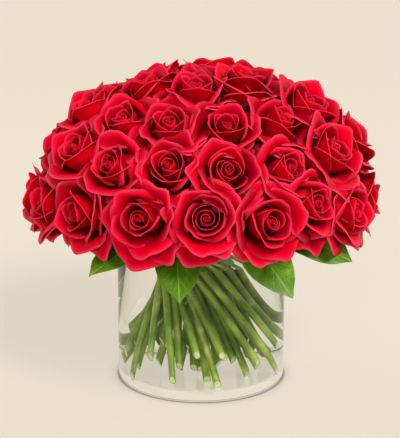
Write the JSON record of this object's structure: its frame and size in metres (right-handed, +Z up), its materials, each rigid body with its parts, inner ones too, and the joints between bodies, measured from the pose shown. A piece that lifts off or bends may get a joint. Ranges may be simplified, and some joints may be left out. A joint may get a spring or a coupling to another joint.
{
  "type": "roses in a vase",
  "caption": "Domed spiral-bound bouquet of red roses with a collar of leaves, standing in a straight clear glass vase of water.",
  "frame": {"origin": "middle of the vase's flat underside, on the table", "axes": "+Z up through the middle of the vase, -Y towards the front of the bouquet, +X to its right seen from the front"},
  "size_m": [0.3178, 0.3177, 0.2913],
  "materials": {
    "clear_glass": "clear colourless pressed glass, polished, thick base",
    "water": "clear still water",
    "rose": "soft velvety red petals on a smooth mid-green stem",
    "leaf": "leathery satin green leaf with a pale midrib"
  },
  "bodies": {
    "root": {"glass_vase": "clear_glass", "water": "water", "rose_01": "rose", "rose_02": "rose", "rose_03": "rose", "rose_04": "rose", "rose_05": "rose", "rose_06": "rose", "rose_07": "rose", "rose_08": "rose", "rose_09": "rose", "rose_10": "rose", "rose_11": "rose", "rose_12": "rose", "rose_13": "rose", "rose_14": "rose", "rose_15": "rose", "rose_16": "rose", "rose_17": "rose", "rose_18": "rose", "rose_19": "rose", "rose_20": "rose", "rose_21": "rose", "rose_22": "rose", "rose_23": "rose", "rose_24": "rose", "rose_25": "rose", "rose_26": "rose", "rose_27": "rose", "rose_28": "rose", "rose_29": "rose", "rose_30": "rose", "rose_31": "rose", "rose_32": "rose", "rose_33": "rose", "rose_34": "rose", "rose_35": "rose", "rose_36": "rose", "rose_37": "rose", "rose_38": "rose", "rose_39": "rose", "rose_40": "rose", "rose_41": "rose", "rose_42": "rose", "rose_43": "rose", "rose_44": "rose", "rose_45": "rose", "rose_46": "rose", "rose_47": "rose", "rose_48": "rose", "rose_49": "rose", "rose_50": "rose", "leaf_1": "leaf", "leaf_2": "leaf", "leaf_3": "leaf", "leaf_4": "leaf", "leaf_5": "leaf", "leaf_6": "leaf", "leaf_7": "leaf", "leaf_8": "leaf"}
  },
  "joints": []
}
